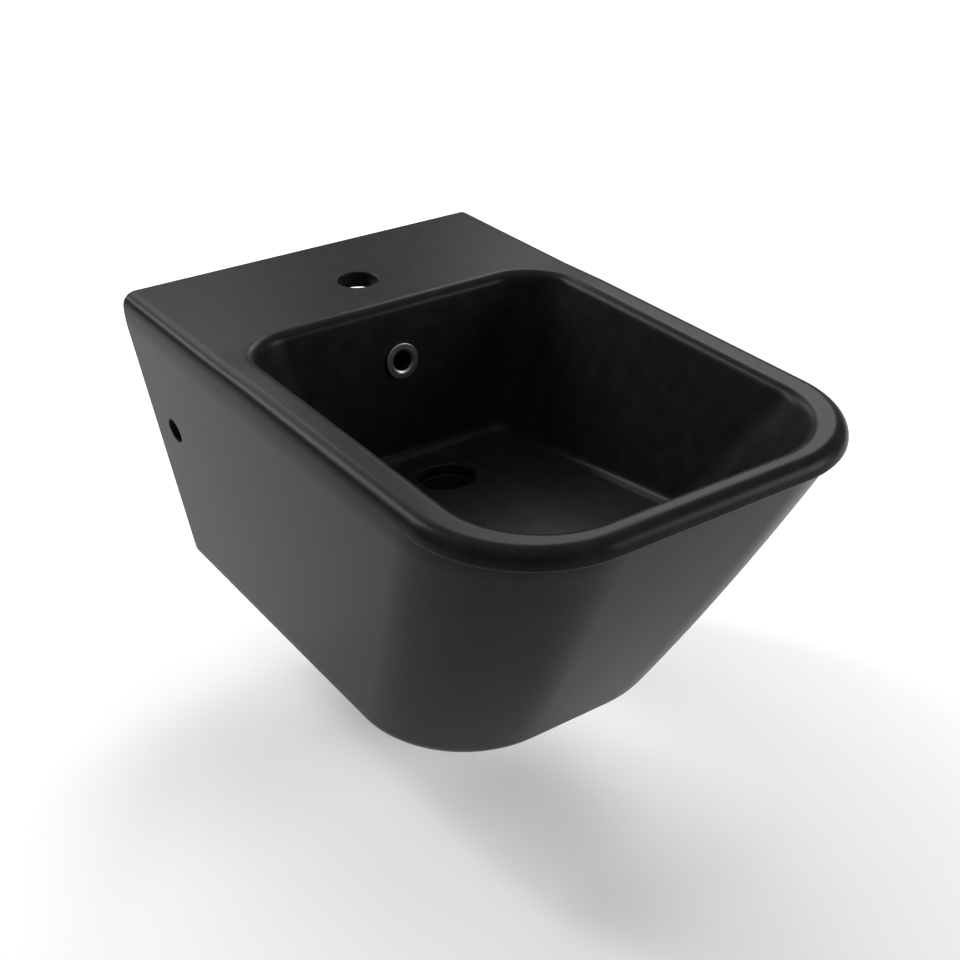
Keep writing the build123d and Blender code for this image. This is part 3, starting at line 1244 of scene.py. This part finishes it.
@dataclass
class ThreadedRod:
    """A rod along Z with a true helical thread, flat ends and perhaps a tapered tip."""

    radius: float
    pitch: float
    length: float
    depth_share: float = 0.58
    tip_length: float = 0.0
    tip_radius: float = 0.0
    steps: int = 32

    def build(self, bm: BMesh) -> None:
        """Spin the thread from one cut through its crests and roots.

        Args:
            bm: An empty mesh; the rod stands on the origin.
        """
        root = self.radius - self.pitch * self.depth_share
        flat = self.pitch / 8
        count = math.ceil(self.length / self.pitch) + 3
        points = []
        for turn in range(count):
            start = (turn - 2) * self.pitch
            points += [(root, start), (root, start + flat), (self.radius, start + self.pitch / 2),
                       (self.radius, start + self.pitch / 2 + flat)]
        verts = [bm.verts.new((radius * MM, 0, height * MM)) for radius, height in points]
        edges = [bm.edges.new(pair) for pair in zip(verts[:-1], verts[1:])]
        bmesh.ops.spin(bm, geom=[*verts, *edges], cent=(0, 0, 0), axis=(0, 0, 1), angle=math.tau,
                       steps=self.steps, dvec=(0, 0, self.pitch / self.steps * MM))
        bmesh.ops.remove_doubles(bm, verts=bm.verts, dist=MERGE * 10)
        for height, keep_up in ((0.0, True), (self.length, False)):
            cut_plane(bm, Vector((0, 0, height * MM)), Vector((0, 0, 1)), clear_inner=keep_up,
                      clear_outer=not keep_up)
        for height in (0.0, self.length):
            bmesh.ops.contextual_create(bm, geom=[edge for edge in bm.edges if edge.is_boundary and all(
                abs(vert.co.z - height * MM) < MERGE for vert in edge.verts)])
        if self.tip_length:
            for vert in bm.verts:
                reach = max(vert.co.z / MM - self.length + self.tip_length, 0) / self.tip_length
                slim = 1 - reach * (1 - self.tip_radius / self.radius)
                vert.co.x *= slim
                vert.co.y *= slim


@dataclass
class Fixings:
    """Studs, screws, nuts, washers, brackets and bushes of one side."""

    side: Side
    finishes: Finishes
    size: FixingSizes = field(default_factory=FixingSizes)

    def rod(self, thread: ThreadedRod, start: Vector, turn: Matrix, name: str, material: Material) -> Object:
        """Build a threaded rod in its place.

        Args:
            thread: The rod.
            start: Where its lower end comes.
            turn: Its turn from upright.
            name: The object's name.
            material: Its finish.

        Returns:
            The rod.
        """
        bm = bmesh.new()
        thread.build(bm)
        bmesh.ops.transform(bm, matrix=Matrix.Translation(start * MM) @ turn, verts=bm.verts)
        return to_object(bm, name, material)

    def stud(self) -> None:
        """Wall stud: a coarse anchor thread in the wall and a machine thread in front of it."""
        size, word = self.size, self.side.word
        into_wall = Matrix.Rotation(-math.pi / 2, 4, "X")
        root = Vector((self.side.value * size.stud_x, 0, 0))
        anchor = self.rod(
            ThreadedRod(size.stud_anchor, size.anchor_pitch, size.stud_anchor_length, size.anchor_depth_share,
                        size.anchor_tip_length, size.anchor_tip_radius),
            root, into_wall, f"{word}_stud_threaded", self.finishes.zinc)
        length = size.stud_thread_length
        front = self.rod(ThreadedRod(size.stud_thread, size.stud_pitch, length + size.overlap),
                         root - Vector((0, length, 0)), into_wall, "stud_front", self.finishes.zinc)
        carve(anchor, front, Cut.ADD)
        enrol(anchor, f"{word}_wall_stud")

    def screw(self) -> None:
        """Clamp screw with a hexagon socket in its outer end."""
        size, sign, word = self.size, self.side.value, self.side.word
        screw = self.rod(ThreadedRod(size.screw_radius, size.screw_pitch, size.screw_end - size.screw_start),
                         Vector((sign * size.screw_start, size.screw_y, 0)),
                         Matrix.Rotation(sign * math.pi / 2, 4, "Y"), f"{word}_screw_threaded",
                         self.finishes.screw)
        socket = bar(size.socket_flats / math.sqrt(3),
                     Vector((sign * (size.screw_end - size.socket_depth), size.screw_y, 0)),
                     Vector((sign * (size.screw_end + 2 * size.overlap), size.screw_y, 0)), HEXAGON,
                     self.finishes.screw)
        carve(screw, socket, Cut.AWAY)
        enrol(screw, f"{word}_clamp_screw")

    def build(self) -> None:
        """Build every fixing of this side."""
        self.stud()
        self.screw()
        size, finishes = self.size, self.finishes
        for part, width, slot, material in (
            ("stud_washer", size.washer_edge, "zinc_steel", finishes.zinc),
            ("stud_nut", size.nut_edge, "zinc_steel", finishes.zinc),
            ("fixing_bracket", size.bracket_edge, "bracket_steel", finishes.bracket),
            ("clamp_nut", size.nut_edge, "bracket_steel", finishes.bracket),
            # the bush's near-black finish is painted shade for the dark side hole
            ("clamp_bush", size.nut_edge, "bush_nylon", finishes.nylon),
        ):
            refine_node(f"{self.side.word}_{part}", width, material)


def refine_node(node: str, width: float, material: Material) -> None:
    """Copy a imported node, join its triangles into faces and round its edges.

    Args:
        node: The node's name.
        width: Width of the rounding, millimetres.
        material: The finish.
    """
    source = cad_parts[node]
    bm = bmesh.new()
    bm.from_mesh(source.data)
    bmesh.ops.transform(bm, matrix=source.matrix_world, verts=bm.verts)
    bmesh.ops.remove_doubles(bm, verts=bm.verts, dist=MERGE)
    bmesh.ops.dissolve_limit(bm, angle_limit=LEVEL_ANGLE, verts=bm.verts, edges=bm.edges)
    soften(bm, sharp_edges(bm, EDGE_ANGLE), width, 2)
    enrol(to_object(bm, f"{node}_finished", material), node)


# The studio


@dataclass(frozen=True)
class Softbox:
    """A rectangular lamp."""

    name: str
    place: tuple[float, float, float]
    aim: tuple[float, float, float]
    width: float
    height: float
    brightness: float

    def build(self) -> None:
        """Hang the lamp; its power follows from its area and brightness."""
        data = bpy.data.lights.new(self.name, "AREA")
        data.shape = "RECTANGLE"
        data.size, data.size_y = self.width, self.height
        data.energy = self.brightness * math.pi * self.width * self.height
        lamp = bpy.data.objects.new(self.name, data)
        lamp.location = self.place
        lamp.rotation_euler = (Vector(self.aim) - Vector(self.place)).to_track_quat("-Z", "Y").to_euler()
        bpy.context.scene.collection.objects.link(lamp)


@dataclass
class Studio:
    """Camera, lamps, world and floor."""

    azimuth: float = math.radians(-35.0)
    elevation: float = math.radians(30.0)
    eye: tuple[float, float, float] = (-0.62275, -1.16786, 0.63188)
    lens: float = 56.55
    sensor: float = 36.0
    near: float = 0.01
    floor_height: float = -0.2785
    floor_size: float = 24.0
    floor_tone: float = 0.97
    fill: float = 0.25
    lamps: tuple[Softbox, ...] = (
        Softbox("overhead", (0.3, -0.3, 3.6), (0, -0.3, 0), 5.0, 5.0, 0.65),
        Softbox("key_back_right", (2.9, 2.4, 2.9), (0, -0.3, 0), 2.0, 2.0, 6.0),
        Softbox("edge_back_left", (-2.2, 3.6, 2.9), (0, -0.3, 0.1), 0.9, 3.0, 18.0),
        Softbox("wash_back", (0.4, 3.9, 2.8), (0, -0.3, 0.1), 3.0, 1.0, 7.0),
        Softbox("wash_front_right", (2.9, -3.1, 1.2), (0, -0.4, 0), 2.0, 2.0, 8.0),
    )

    def camera(self) -> None:
        """Put the camera at the photograph's viewing angle."""
        data = bpy.data.cameras.new("camera")
        data.lens = self.lens
        data.sensor_width = self.sensor
        data.clip_start = self.near
        camera = bpy.data.objects.new("camera", data)
        camera.location = self.eye
        camera.rotation_euler = (math.pi / 2 - self.elevation, 0.0, self.azimuth)
        bpy.context.scene.collection.objects.link(camera)
        bpy.context.scene.camera = camera

    def world(self) -> None:
        """A dim even fill from all sides."""
        world = bpy.data.worlds.new("studio")
        world.use_nodes = True
        background = world.node_tree.nodes["Background"]
        background.inputs["Color"].default_value = (1, 1, 1, 1)
        background.inputs["Strength"].default_value = self.fill
        bpy.context.scene.world = world

    def floor(self) -> None:
        """A plain pale floor below the object."""
        bm = bmesh.new()
        bmesh.ops.create_grid(bm, x_segments=1, y_segments=1, size=self.floor_size / 2)
        bmesh.ops.translate(bm, verts=bm.verts, vec=(0, 0, self.floor_height))
        graph = NodeGraph("floor_paint")
        shader = graph.add("BsdfDiffuse")
        tone = (self.floor_tone,) * 3
        paint = graph.ramp(graph.noise(3.0, 2.0), {0.3: paler(tone, 0.99), 0.7: tone})
        graph.join(paint, shader.inputs["Color"])
        floor = to_object(bm, "floor", graph.finish(shader))

    def build(self) -> None:
        """Put up the whole studio."""
        self.camera()
        self.world()
        self.floor()
        for lamp in self.lamps:
            lamp.build()
        bpy.context.scene.view_settings.view_transform = "Standard"


def main() -> None:
    """Build the scene in order."""
    logging.basicConfig(level=logging.INFO, format="%(name)s: %(message)s")
    finishes = Finishes()
    CeramicBody(finishes).build()
    OverflowRing(finishes).build()
    refine_node("overflow_seal", SEAL_EDGE, finishes.rubber)
    for side in Side:
        Fixings(side, finishes).build()
    Studio().build()


if __name__ == "__main__":
    main()
